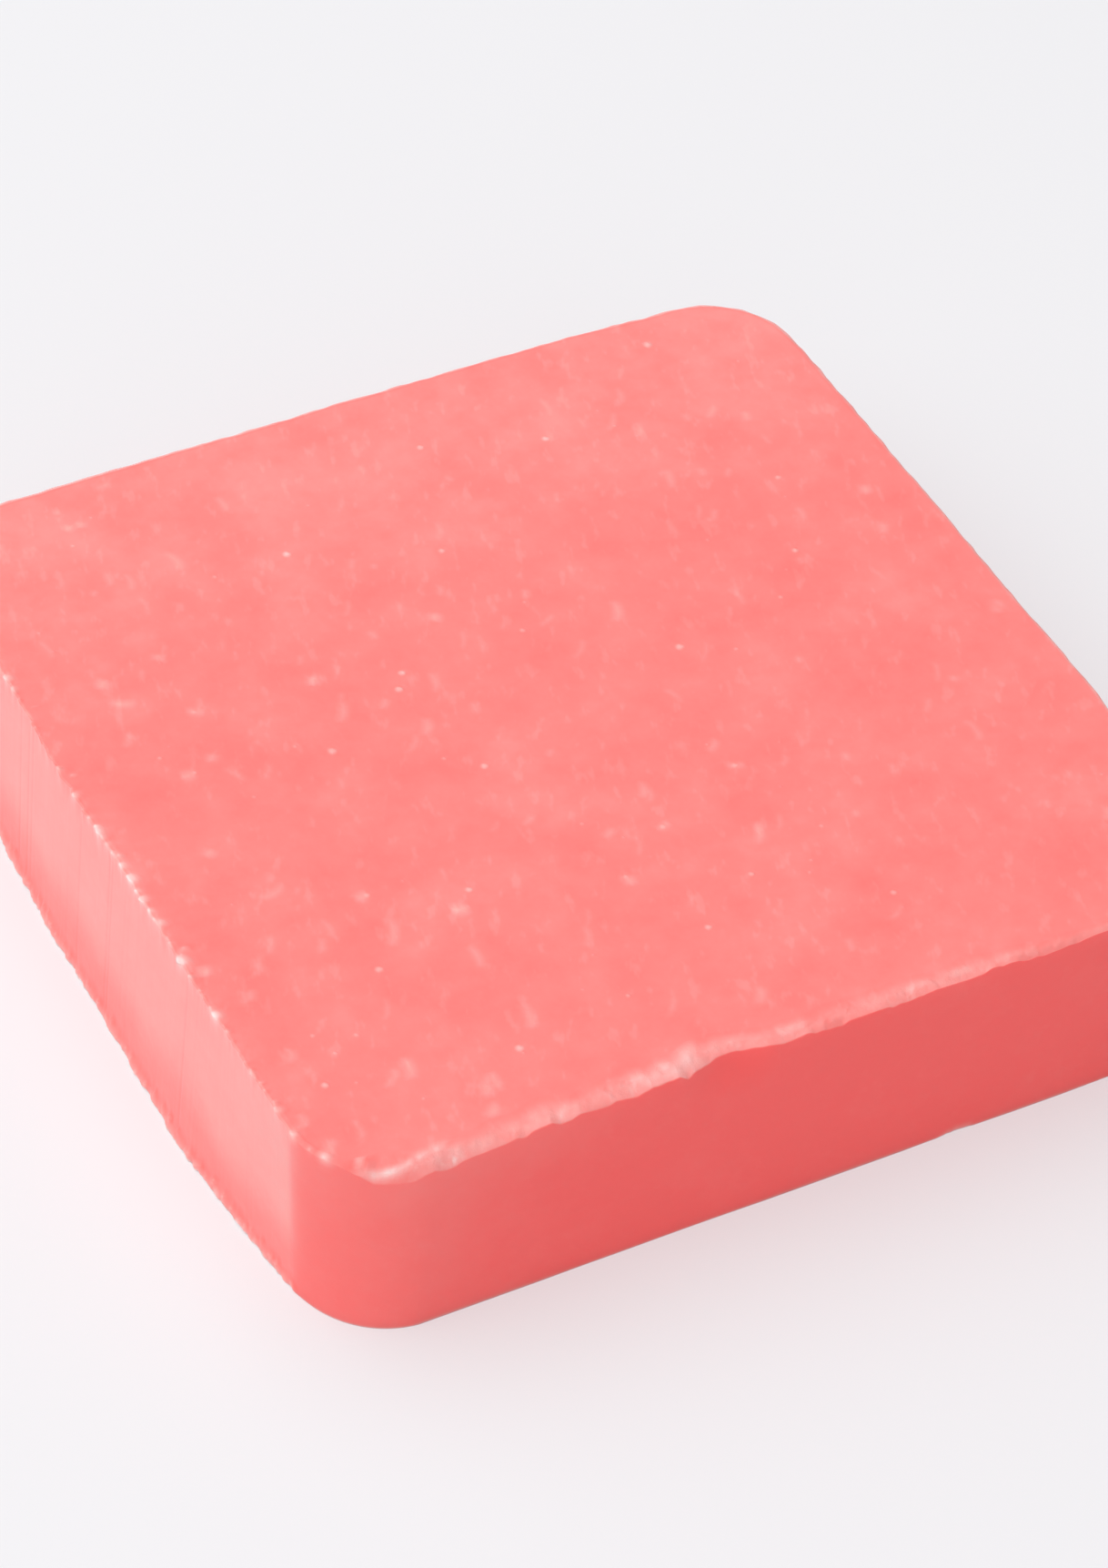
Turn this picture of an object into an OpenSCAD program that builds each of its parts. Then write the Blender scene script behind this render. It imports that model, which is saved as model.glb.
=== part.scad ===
// Square bar of soap, poured in a mould and trimmed by knife along its left side.
// Millimetres. The bar lies on its flat base, with the origin under the middle of its box.
// The front edge runs along X at the lowest Y, and the trimmed side is the one at the lowest X.
// The skin is one loft: every station of the plan outline carries the same profile of rings,
// from the base over the foot, up the wall and across the broken upper edge to the flat top.

/* [Bar] */
// Width along X, from the lip of the trimmed side to the right wall
bar_width = 76.2; // [45:0.2:110]
// Depth along Y
bar_depth = 75.4; // [45:0.2:110]
// Height of the flat top above the base
bar_height = 16.8; // [10:0.2:32]
// Radius of the mould's upright corners
corner_radius = 7.5; // [6:0.5:16]
// How far a moulded wall leans in from foot to top
wall_lean = 0.1; // [0:0.1:1]
// How far the back and right walls bow out between their corners
wall_bow = 0.3; // [0:0.1:1]
// How far the walls waver in and out
wall_waver = 0.12; // [0:0.02:0.4]
// Length of one waver along the wall
waver_length = 11; // [5:0.5:30]
// Height and width of the fine break along the foot
foot_break = 0.25; // [0.05:0.05:0.5]

/* [Trimmed side] */
// How far this side stands out past the mould's wall, at its foot
side_bulge = 1.6; // [0.8:0.1:3]
// How much further in the cut is at the back than where the slice beside the front corner begins
trim_skew = 1.8; // [0:0.1:4]
// How far the cut bows out between its ends
trim_bow = 0.3; // [0:0.05:1]
// How far the cut leans in from foot to top where that slice begins
trim_lean = 0.6; // [0:0.05:1.5]
// Length of the slice, up to where the corner begins
slice_length = 13.5; // [4:0.5:20]
// How far round the corner the slice reaches, in degrees, to end in the upright crease
crease_turn = 8; // [0:1:30]
// How far the top of the crease stands out past its foot, where the knife twisted
crease_overhang = 0.9; // [0:0.1:1.5]
// How far the lip at the foot stands out
foot_lip = 0.4; // [0.1:0.05:0.5]
// Height of that lip
foot_lip_height = 1.8; // [0.8:0.1:3]
// Height of the crumbs that the knife raised along the upper edge
crumb_height = 0.35; // [0.05:0.05:0.8]
// Distance from one crumb to the next
crumb_pitch = 2.4; // [1.5:0.1:6]

/* [Broken upper edge] */
// How far a full break reaches down the wall
break_drop = 2; // [0.3:0.1:2.4]
// How far a full break reaches in over the top
break_reach = 2.2; // [0.4:0.1:3]
// Share of a full break on the right and back edges
far_break = 0.1; // [0.05:0.05:1]
// Share of a full break on the trimmed side's edge
trim_break = 0.08; // [0.04:0.04:1]
// Length of one flake along the edge
flake_length = 1.9; // [1.2:0.1:6]
// How ragged the flakes are, as a share of the break
raggedness = 0.2; // [0:0.05:0.3]
// Width of the soft slope between the break and the flat top
shoulder_width = 0.6; // [0.2:0.05:1.5]

/* [Chipped hollow under the front edge] */
// Distance of its middle along the front edge, from where the front left corner ends
hollow_place = 22.5; // [10:0.5:40]
// Its length along the edge
hollow_length = 9; // [4:0.5:18]
// How far it goes into the wall at the top
hollow_depth = 0.9; // [0.2:0.1:2]
// How far it runs down the wall
hollow_drop = 4; // [3:0.5:6]

/* [Bubbles] */
// Radius of the largest bubble that opens in the top
bubble_radius = 0.6; // [0.3:0.05:1.2]
// How far its middle lies above the top, as a share of the radius
bubble_rise = 0.4; // [0:0.05:0.8]

/* [Grain] */
// Distance between the loft's stations along the outline
station_pitch = 0.65; // [0.6:0.05:3]
// Seed of the grain
grain_seed = 7; // [1:1:60]

/* [Hidden] */
soap_colour = [0.98, 0.52, 0.51];

front_y = -bar_depth / 2;
back_y = bar_depth / 2 - wall_bow;
right_x = bar_width / 2 - wall_bow;
mould_x = side_bulge - bar_width / 2; // where the mould's left wall would be
slice_start = [foot_lip - bar_width / 2, front_y + corner_radius + slice_length];
cut_back_x = slice_start.x + trim_skew;
front_left = [mould_x + corner_radius, front_y + corner_radius];
front_right = [right_x - corner_radius, front_y + corner_radius];
back_right = [right_x - corner_radius, back_y - corner_radius];
back_left = [cut_back_x + corner_radius, back_y - corner_radius];

// How far down the front edge broke, as a share of a full break, by distance along it from where
// the front left corner ends. The distances below 0 lie on that corner.
front_drop = [
    [-11, 0.1], [-6.7, 0.1], [-6, 0.7], [-4.2, 0.95], [-2.4, 0.95], [-0.8, 0.55], [5.4, 0.5], [6.8, 0.3],
    [9, 0.2], [10, 0.45], [11, 0.3], [12, 0.4], [13.7, 0.25], [15.8, 0.5], [17, 0.25], [19, 0.2],
    [20, 0.45], [22, 0.15], [24, 0.3], [26.3, 0.15], [28, 0.3], [30, 0.15], [35.5, 0.3], [37.5, 0.15],
    [39, 0.35], [40.5, 0.2], [43, 0.35], [44.5, 0.1], [47, 0.1], [50, 0.4], [60, 0.2], [72, 0.1], [90, 0.2]
];
// How far in over the top it broke, in the same way
front_reach = [
    [-11, 0.1], [-6.7, 0.15], [-6, 0.55], [-2, 0.9], [0, 0.75], [10, 0.9], [15.5, 1.05], [19.5, 1.05],
    [24, 0.8], [30.5, 0.85], [33, 0.75], [37, 0.9], [42.5, 0.7], [46.5, 0.7], [48.5, 0.45], [51, 0.35],
    [60, 0.45], [90, 0.4]
];

// Bubbles: place on the top, where 0 is its middle and 1 its edge, and share of the largest radius.
bubbles = [
    [-0.29, 0.61, 1.0], [0.11, 0.80, 0.7], [0.36, 0.72, 0.8], [0.70, 0.88, 1.0], [0, 0.49, 0.7],
    [0.05, 0.21, 0.6], [0.31, 0.04, 0.9], [0.65, 0.20, 0.6], [-0.25, 0.17, 0.8], [-0.47, 0.05, 0.9],
    [-0.21, -0.11, 0.8], [-0.66, 0.27, 0.6], [0.24, -0.31, 0.7], [0.12, -0.59, 0.6],
    [-0.58, -0.33, 0.8], [-0.10, -0.49, 0.6], [-0.02, -0.68, 0.7], [-0.51, -0.81, 0.9],
    [0.35, -0.75, 0.7], [-0.88, -0.74, 0.8]
];

function mix(a, b, t) = a + (b - a) * t;
function steps(length) = max(2, ceil(length / station_pitch));

// The plan outline, anticlockwise. A station is [x, y, drop, reach, lean, knife, hollow]: its place,
// the two shares of the break, how far the wall leans in, 1 where it was cut, and the hollow's share.
function straight(from, to, wear, leans, knife = 0, bow = 0) =
    let (run = to - from, out = [run.y, -run.x] / norm(run), count = steps(norm(run)))
    [for (i = [0 : count - 1])
        let (t = i / count, place = from + run * t + out * bow * sin(180 * t))
        concat(place, wear, wear, mix(leans[0], leans[1], t), knife, 0)];
function round_corner(centre, start, wear, next_wear) =
    let (count = steps(corner_radius * PI / 2))
    [for (i = [0 : count - 1])
        let (t = i / count, angle = start + 90 * t, here = mix(wear, next_wear, t))
        concat(centre + corner_radius * [cos(angle), sin(angle)], here, here, wall_lean, 0, 0)];

// The front side, from the crease round the front left corner and along the edge.
function front_station(place, along, lean) =
    let (
        from_middle = (along - hollow_place) / hollow_length * 2,
        share = max(0, 1 - from_middle * from_middle)
    )
    concat(place, lookup(along, front_drop), lookup(along, front_reach), lean, 0, share * share);
function front_corner() =
    let (sweep = 90 - crease_turn, length = corner_radius * sweep * PI / 180, count = steps(length))
    [for (i = [0 : count - 1])
        let (t = i / count, angle = 270 - sweep * (1 - t))
        front_station(front_left + corner_radius * [cos(angle), sin(angle)], -length * (1 - t),
            mix(-crease_overhang, wall_lean, t))];
function front_edge() =
    let (length = front_right.x - front_left.x, count = steps(length))
    [for (i = [0 : count - 1])
        let (along = length * i / count)
        front_station([front_left.x + along, front_y], along, wall_lean)];

crease_angle = 180 + crease_turn;
crease = front_left + corner_radius * [cos(crease_angle), sin(crease_angle)];
front_end = lookup(front_right.x - front_left.x, front_drop);
walls = [wall_lean, wall_lean];
outline = concat(
    front_corner(),
    front_edge(),
    round_corner(front_right, 270, front_end, far_break),
    straight([right_x, front_right.y], [right_x, back_right.y], far_break, walls, 0, wall_bow),
    round_corner(back_right, 0, far_break, far_break),
    straight([back_right.x, back_y], [back_left.x, back_y], far_break, walls, 0, wall_bow),
    round_corner(back_left, 90, far_break, trim_break),
    straight([cut_back_x, back_left.y], slice_start, trim_break, [wall_lean, trim_lean], 1, trim_bow),
    straight(slice_start, crease, trim_break, [trim_lean, -crease_overhang], 1)
);
stations = len(outline);

// Grain: closed chains of random numbers, one lane for each use, with a cell of the given length.
grit = rands(-1, 1, 997, grain_seed);
function grain(i, length, lane) =
    let (
        cells = max(3, round(stations * station_pitch / length)),
        place = i / stations * cells,
        cell = floor(place)
    )
    mix(grit[(cell + lane * 89) % 997], grit[((cell + 1) % cells + lane * 89) % 997], place - cell);
function ragged(i, lane) = 1 + raggedness * grain(i, flake_length, lane);

// The profile at station i, as [distance out from the outline, height] for each ring.
function crumb(i) =
    let (beat = abs(sin(180 * i * station_pitch / crumb_pitch)), size = 0.5 + 0.5 * grain(i, crumb_pitch, 5))
    outline[i][5] * crumb_height * size * beat * beat;
function profile(i) =
    let (
        waver = wall_waver * grain(i, waver_length, 1),
        drop = break_drop * outline[i][2] * ragged(i, 2),
        reach = break_reach * outline[i][3] * ragged(i, 3),
        lean = outline[i][4],
        lip = outline[i][5] * foot_lip * (0.8 + 0.2 * grain(i, flake_length, 4)),
        top = waver - lean - outline[i][6] * hollow_depth
    )
    [
        [waver - foot_break, 0],
        [waver + lip, foot_break],
        [waver + lip / 2, foot_lip_height * 0.6],
        [waver - lean * foot_lip_height / bar_height, foot_lip_height],
        [waver - lean * (1 - hollow_drop / bar_height), bar_height - hollow_drop],
        [top, bar_height - drop],
        [top - reach * 0.3, bar_height - drop * 0.45 * ragged(i, 6)],
        [top - reach * 0.85, bar_height - drop * 0.1 + crumb(i)],
        [top - reach - shoulder_width, bar_height]
    ];
profiles = [for (i = [0 : stations - 1]) profile(i)];
rings = len(profiles[0]);

// The way out of the bar at a station, square to the outline.
function outward(i) =
    let (
        before = outline[(i + stations - 1) % stations],
        after = outline[(i + 1) % stations],
        run = [after.x - before.x, after.y - before.y]
    )
    [run.y, -run.x] / norm(run);

module lofted_skin() {
    skin = [for (ring = [0 : rings - 1]) for (i = [0 : stations - 1])
        let (place = [outline[i].x, outline[i].y] + profiles[i][ring].x * outward(i))
        [place.x, place.y, profiles[i][ring].y]];
    base_middle = len(skin);
    top_middle = base_middle + 1;
    last_ring = (rings - 1) * stations;
    walls = [for (ring = [0 : rings - 2]) for (i = [0 : stations - 1])
        let (a = ring * stations + i, b = ring * stations + (i + 1) % stations)
        each [[a, a + stations, b + stations], [a, b + stations, b]]];
    base = [for (i = [0 : stations - 1]) [i, (i + 1) % stations, base_middle]];
    top = [for (i = [0 : stations - 1]) [last_ring + (i + 1) % stations, last_ring + i, top_middle]];
    polyhedron(concat(skin, [[0, 0, 0], [0, 0, bar_height]]), concat(walls, base, top));
}

module open_bubbles() {
    top_half = [right_x, back_y] - [1, 1] * (break_reach + shoulder_width);
    for (bubble = bubbles) {
        radius = bubble_radius * bubble[2];
        translate([bubble.x * top_half.x, bubble.y * top_half.y, bar_height + radius * bubble_rise])
            sphere(radius, $fn = 32);
    }
}

module soap_bar() {
    color(soap_colour)
    difference() {
        lofted_skin();
        open_bubbles();
    }
}

soap_bar();
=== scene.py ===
import math

import bpy
import numpy as np
from mathutils import Matrix, Vector, geometry, noise


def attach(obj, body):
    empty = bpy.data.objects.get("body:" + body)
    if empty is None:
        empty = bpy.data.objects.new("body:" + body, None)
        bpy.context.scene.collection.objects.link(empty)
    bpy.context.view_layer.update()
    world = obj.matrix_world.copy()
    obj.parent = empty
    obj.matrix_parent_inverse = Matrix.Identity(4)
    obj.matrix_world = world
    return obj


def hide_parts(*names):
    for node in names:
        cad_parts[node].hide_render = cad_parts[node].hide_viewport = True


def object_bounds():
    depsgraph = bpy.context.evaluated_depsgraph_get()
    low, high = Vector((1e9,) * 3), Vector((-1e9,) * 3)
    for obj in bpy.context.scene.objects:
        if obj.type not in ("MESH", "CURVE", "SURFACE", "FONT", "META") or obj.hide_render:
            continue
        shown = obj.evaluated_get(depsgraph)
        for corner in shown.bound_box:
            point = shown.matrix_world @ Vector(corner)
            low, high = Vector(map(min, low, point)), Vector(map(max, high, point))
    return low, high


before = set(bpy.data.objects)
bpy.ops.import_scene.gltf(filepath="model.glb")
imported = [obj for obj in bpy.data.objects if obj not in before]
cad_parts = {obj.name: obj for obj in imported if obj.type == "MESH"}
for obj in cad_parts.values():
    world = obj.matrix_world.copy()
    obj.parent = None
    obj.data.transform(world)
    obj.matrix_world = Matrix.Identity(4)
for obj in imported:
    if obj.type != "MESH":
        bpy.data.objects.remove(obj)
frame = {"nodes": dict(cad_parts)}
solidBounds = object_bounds()
print("frame loaded:", ", ".join(frame["nodes"]))

millimetre = 0.001  # sizes are in millimetres where a note names no other unit

# The bar's plan and section, as its solid has them
barForm = {
    "width": 76.2, "depth": 75.4, "height": 16.8, "cornerRadius": 7.5,
    "wallBow": 0.3,  # of the back and right walls
    "sideBulge": 1.6,  # trimmed side past the mould's wall
    "wallLean": 0.1, "trimLean": 0.6,
    "creaseOverhang": 0.9,  # top of the crease past its foot
    "trimSkew": 1.8, "trimBow": 0.3,
    "sliceLength": 13.5, "creaseTurn": 8.0,
    "lip": 0.4,  # at the foot of the trimmed side
    "frontPitch": 0.15, "cutPitch": 0.12, "farPitch": 0.3,  # between stations round the outline
    # rounds of smoothing; the first keep inner rings from crossing at the crease
    "outwardRounds": 300, "farRounds": 12, "knifeRounds": 36,
}

# Tone of the soap, from the moulded walls to the white of a crumb. The ramp of its material reads it
# The walls' tone is painted shade, deeper than the top's; the corner's is painted light, paler where the
# front left corner turns to the lamps; the cut's foot is painted shade, deeper near the floor
tone = {"wall": 0.0, "corner": 0.16, "top": 0.325, "cutFootShade": 0.31, "cut": 0.57, "broken": 0.76, "bead": 1.0}


# Noise and steps. A pair is an amount and the size of a cell, and each use has a lane of its own

def grain(places, pair, lane):
    # smooth noise, from about minus its amount to its amount
    amount, cell = pair
    shift = Vector((0.37, 5.13, 9.71)) * lane
    return amount * (1.4 * np.array([noise.noise(Vector(place) / cell + shift) for place in places]))


def crumbs(places, pair, lane):
    # rounded crumbs, half their amount deep in the seams and half of it high on the crowns
    amount, cell = pair
    shift = Vector((3.3, 1.7, 7.9)) * lane
    nearest = np.array([noise.voronoi(Vector(place) / cell + shift)[0][0] for place in places])
    return amount * (np.clip(1.0 - nearest ** 2 * 1.6, 0.0, 1.0) - 0.5)


def flakes(places, pair, lane):
    # one height for each flake, with steps between them
    amount, cell = pair
    shift = Vector((3.3, 1.7, 7.9)) * lane
    middles = [noise.voronoi(Vector(place) / cell + shift)[1][0] for place in places]
    # spread apart, so that each middle falls in a cell of its own
    return amount * np.array([2.0 * noise.cell(middle * 31.7) - 1.0 for middle in middles])


def onFloor(spots):
    return np.column_stack([spots, np.zeros(len(spots))])


def smoothStep(low, high, value):
    # from 0 at low to 1 at high, also where low is the larger
    t = np.clip((value - low) / (high - low), 0, 1)
    return t * t * (3 - 2 * t)


def smoothed(values, rounds):
    # evened out along the outline
    for each in range(rounds):
        values = 0.5 * values + 0.25 * (np.roll(values, 1, axis=0) + np.roll(values, -1, axis=0))
    return values


# How the upper edge broke: how far down the wall, and how far in over the top
edgeBreak = {
    # of the front edge, by the distance from where the front left corner ends
    "at": [-11, -6.8, -5.6, -4.6, -2.4, -1.2, -0.3, 1, 5.2, 6.6, 8.8, 9.5, 10.4, 11, 12.4, 13.4, 15.6, 16.8,
           19, 19.8, 20.6, 24.8, 26.4, 28, 29, 35.6, 37, 38.8, 40, 43.2, 44.6, 47, 49, 51, 54, 60],
    "drop": [0.25, 0.3, 0.9, 1.6, 1.7, 1.2, 0.8, 1.0, 0.85, 0.5, 0.3, 0.75, 0.7, 0.4, 0.6, 0.3, 0.75, 0.3,
             0.2, 0.6, 0.5, 0.45, 0.3, 0.45, 0.2, 0.4, 0.2, 0.45, 0.3, 0.45, 0.1, 0.1, 0.6, 0.45, 0.3, 0.4],
    "reach": [0.4, 0.5, 1.1, 1.7, 1.9, 1.7, 1.6, 1.5, 1.9, 1.9, 2.2, 2.2, 1.8, 1.7, 2.0, 1.8, 2.3, 2.0,
              2.0, 2.1, 2.1, 1.5, 1.9, 1.8, 1.7, 1.8, 2.0, 1.6, 1.4, 1.8, 1.4, 1.3, 0.9, 0.8, 0.8, 0.9],
    "farDrop": 0.2, "farReach": 0.45, "trimDrop": 0.12, "trimReach": 0.22,
}


# Plan outline, anticlockwise. A station is a row: x, y, drop, reach, knife, place along the front, lean
dropColumn, reachColumn, placeColumn = 2, 3, 5
offFront = -99.0  # place of the stations that aren't on the front


def straightRun(start, end, broken, lean, pitch, knife=0.0, bow=0.0):
    start = np.array(start)
    run = np.array(end) - start
    length = math.hypot(*run)
    count = math.ceil(length / pitch)
    t = np.arange(count) / count
    out = np.array([run[1], -run[0]]) / length
    spots = start + np.outer(t, run) + np.outer(bow * np.sin(np.pi * t), out)
    same = np.ones(count)
    return np.column_stack([spots, broken[0] * same, broken[1] * same, knife * same, offFront * same,
                            lean[0] + (lean[1] - lean[0]) * t])


def cornerRun(centre, startAngle, sweep, broken, nextBroken, lean, pitch):
    radius = barForm["cornerRadius"]
    count = math.ceil(radius * math.radians(sweep) / pitch)
    t = np.arange(count) / count
    angle = np.radians(startAngle + sweep * t)
    same = np.ones(count)
    return np.column_stack([
        centre[0] + radius * np.cos(angle), centre[1] + radius * np.sin(angle),
        broken[0] + (nextBroken[0] - broken[0]) * t, broken[1] + (nextBroken[1] - broken[1]) * t,
        0.0 * same, offFront * same, lean[0] + (lean[1] - lean[0]) * smoothStep(0, 1, t)])


def planOutline():
    form = barForm
    radius, bow, turn = form["cornerRadius"], form["wallBow"], form["creaseTurn"]
    front, back, right = -form["depth"] / 2, form["depth"] / 2 - bow, form["width"] / 2 - bow
    mouldX = form["sideBulge"] - form["width"] / 2
    sliceStart = (form["lip"] - form["width"] / 2, front + radius + form["sliceLength"])
    cutBack = sliceStart[0] + form["trimSkew"]
    frontLeft, backLeft = (mouldX + radius, front + radius), (cutBack + radius, back - radius)
    frontRight, backRight = (right - radius, front + radius), (right - radius, back - radius)
    creaseAngle = math.radians(180 + turn)
    crease = (frontLeft[0] + radius * math.cos(creaseAngle), frontLeft[1] + radius * math.sin(creaseAngle))

    far = (edgeBreak["farDrop"], edgeBreak["farReach"])
    trim = (edgeBreak["trimDrop"], edgeBreak["trimReach"])
    frontEnd = (edgeBreak["drop"][-1], edgeBreak["reach"][-1])
    moulded = (form["wallLean"], form["wallLean"])
    cut = (form["wallLean"], form["trimLean"])
    overhang = -form["creaseOverhang"]
    pitch = form["farPitch"]

    corner = cornerRun(frontLeft, 180 + turn, 90 - turn, trim, trim, (overhang, form["wallLean"]),
                       form["frontPitch"])
    cornerAngle = np.arctan2(corner[:, 1] - frontLeft[1], corner[:, 0] - frontLeft[0])
    corner[:, placeColumn] = (cornerAngle + math.pi / 2) * radius
    edge = straightRun((frontLeft[0], front), (frontRight[0], front), far, moulded, form["frontPitch"])
    edge[:, placeColumn] = edge[:, 0] - frontLeft[0]
    frontSide = np.vstack([corner, edge])
    frontSide[:, dropColumn] = np.interp(frontSide[:, placeColumn], edgeBreak["at"], edgeBreak["drop"])
    frontSide[:, reachColumn] = np.interp(frontSide[:, placeColumn], edgeBreak["at"], edgeBreak["reach"])
    return np.vstack([
        frontSide,
        cornerRun(frontRight, 270, 90, frontEnd, far, moulded, pitch),
        straightRun((right, frontRight[1]), (right, backRight[1]), far, moulded, pitch, bow=bow),
        cornerRun(backRight, 0, 90, far, far, moulded, pitch),
        straightRun((backRight[0], back), (backLeft[0], back), far, moulded, pitch, bow=bow),
        cornerRun(backLeft, 90, 90, far, trim, moulded, pitch),
        straightRun((cutBack, backLeft[1]), sliceStart, trim, cut, form["cutPitch"], 1.0, form["trimBow"]),
        straightRun(sliceStart, crease, trim, (form["trimLean"], overhang), form["cutPitch"], 1.0)])


outline = planOutline()
stationSpots = outline[:, :2]
stationDrop, stationReach, knife, frontPlace, stationLean = outline[:, 2:].T
stationCount = len(outline)
stationY = stationSpots[:, 1]
floorPlaces = onFloor(stationSpots)


def outwardDirections():
    run = np.roll(stationSpots, -1, axis=0) - np.roll(stationSpots, 1, axis=0)
    out = np.column_stack([run[:, 1], -run[:, 0]])
    out = smoothed(out / np.linalg.norm(out, axis=1)[:, None], barForm["outwardRounds"])
    return out / np.linalg.norm(out, axis=1)[:, None]


outward = outwardDirections()
onFront = frontPlace > offFront
farShare = smoothed(1.0 * (~onFront & (knife < 0.5)), barForm["farRounds"])  # 1 on the right and back sides
softKnife = smoothed(knife, barForm["knifeRounds"])
print("outline:", stationCount, "stations")

# Marks in the flat top. A bubble is x, y, radius; a scrape is x, y, direction in degrees, length, width
topMarks = {
    "bubbles": [
        (-11, 23, 0.42), (4, 30, 0.34), (13.5, 27, 0.36), (26.5, 34, 0.45), (0, 18.5, 0.32), (1.5, 8, 0.28),
        (11.5, 1.5, 0.42), (25, 7.5, 0.34), (-9, 7.5, 0.36), (-10, 6, 0.40), (-17.5, 2, 0.44),
        (-8, -4, 0.38), (-25, 10, 0.30), (1, -15, 0.34), (9, -11.5, 0.34), (4.5, -22, 0.28),
        (-22, -12.5, 0.34), (-4, -18.5, 0.28), (-15, -15, 0.34), (-1, -25.5, 0.34), (-19, -30.5, 0.42),
        (-24.5, -19.5, 0.38), (13, -28, 0.32), (-33, -28, 0.36), (28, 15.5, 0.3), (-25, 34.5, 0.24),
        (-25.5, 30.5, 0.22)],
    "scrapes": [
        (9, 7, 70, 2.6, 0.4), (-15, 5.5, 60, 2.6, 0.4), (-10, 1.5, 60, 2.2, 0.4), (1.5, -11, 66, 2.0, 0.35),
        (-22, -16.5, 66, 3.2, 0.4), (-16.5, -16.5, 0, 1.6, 0.6), (-22.5, -12.5, 20, 1.4, 0.5),
        (9, -11.5, -20, 1.8, 0.4), (8.5, -9, 40, 1.8, 0.35), (-4, -19, 80, 1.2, 0.45),
        (1, -15, 20, 1.4, 0.35), (-15.5, 9.5, 60, 1.4, 0.5), (-4, 12, 60, 1.2, 0.5),
        (-29.5, 13, -24, 2.4, 0.4), (-25, 10, -30, 1.6, 0.4), (-26, 5, 50, 1.2, 0.45),
        (-28, -9.5, 20, 2.4, 0.35), (-34, -18, 66, 1.4, 0.45), (-36, -14.5, 80, 1.2, 0.5),
        (-30, 15.5, 40, 1.4, 0.5), (-25, 16.5, 60, 1.0, 0.4), (-34, -24.5, 66, 1.6, 0.4),
        (-28.5, 4, 0, 1.2, 0.5), (-30.5, -4, 40, 1.2, 0.45), (7, -18.5, 66, 2.6, 0.35),
        (-17, -28, 76, 2.8, 0.4), (-23, -33, 72, 1.6, 0.45), (-23.5, -35, 45, 1.5, 0.4),
        (-27, -29, 74, 2.4, 0.4), (-3, -14, 30, 1.6, 0.35), (-1, -33, 60, 2.0, 0.4),
        (-36, -30.4, 70, 1.4, 0.4), (-35.2, -33.2, 60, 1.6, 0.4), (33.5, 11.5, 70, 1.4, 0.45),
        (27.5, 11, 80, 1.8, 0.3), (36, -4.5, 66, 1.6, 0.4), (32.5, 7, 66, 1.6, 0.35),
        (-25, 32.5, 30, 1.0, 0.4), (-24, 32.5, 60, 0.9, 0.4), (-20.5, 36, -10, 1.6, 0.3)],
    # fainter ones scattered between them
    "seed": 11, "moreBubbles": 46, "moreRadii": (0.14, 0.24), "margin": 4.5,
    "moreScrapes": 110, "moreDirections": (70, 16), "moreLengths": (0.8, 2.6), "moreWidths": (0.16, 0.34),
    # a bubble is a raised crown with a bowl in it, both in shares of its radius
    "bowlAt": (0.5, 0.4), "bowlRadius": 0.6, "bowlDepth": 0.12, "bowlEase": 0.7,
    "crownAt": (-0.15, -0.15), "crownRadius": 0.75, "crownHeight": 0.16,
    "paleRadius": 0.36,  # of a bubble as pale as any
    "scrapeDepth": 0.02, "scrapeBend": 0.12,
    "burrAt": 1.2, "burrHalf": 0.35, "burrHeight": 0.6,  # beside a scrape, in shares of its width and depth
    "paleEase": 1.4, "paleWidth": 1.4, "paleMark": 0.42, "rough": 0.8,
    # the top paler towards the back: painted sheen
    "paintedSheenBack": 0.08, "paintedSheenBackFrom": (8, 32),  # towards the back
    "sway": (0.10, 24.0), "swell": (0.03, 6.5), "dimple": (0.010, 1.9),
}


def scatterMarks():
    marks = topMarks
    chance = np.random.default_rng(marks["seed"])
    reach = np.array((barForm["width"], barForm["depth"])) / 2 - marks["margin"]
    bubbles, scrapes = list(marks["bubbles"]), list(marks["scrapes"])
    for each in range(marks["moreBubbles"]):
        spot = chance.uniform(-1, 1, 2) * reach
        bubbles.append((*spot, chance.uniform(*marks["moreRadii"])))
    for each in range(marks["moreScrapes"]):
        spot = chance.uniform(-1, 1, 2) * reach
        scrapes.append((*spot, chance.normal(*marks["moreDirections"]), chance.uniform(*marks["moreLengths"]),
                        chance.uniform(*marks["moreWidths"])))
    return bubbles, scrapes


bubbles, scrapes = scatterMarks()


def bendOf(length, along):
    # how far a scrape's middle line is bent aside, from -1 to 1 along it
    return topMarks["scrapeBend"] * length * (along ** 2 - 0.3)


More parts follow.
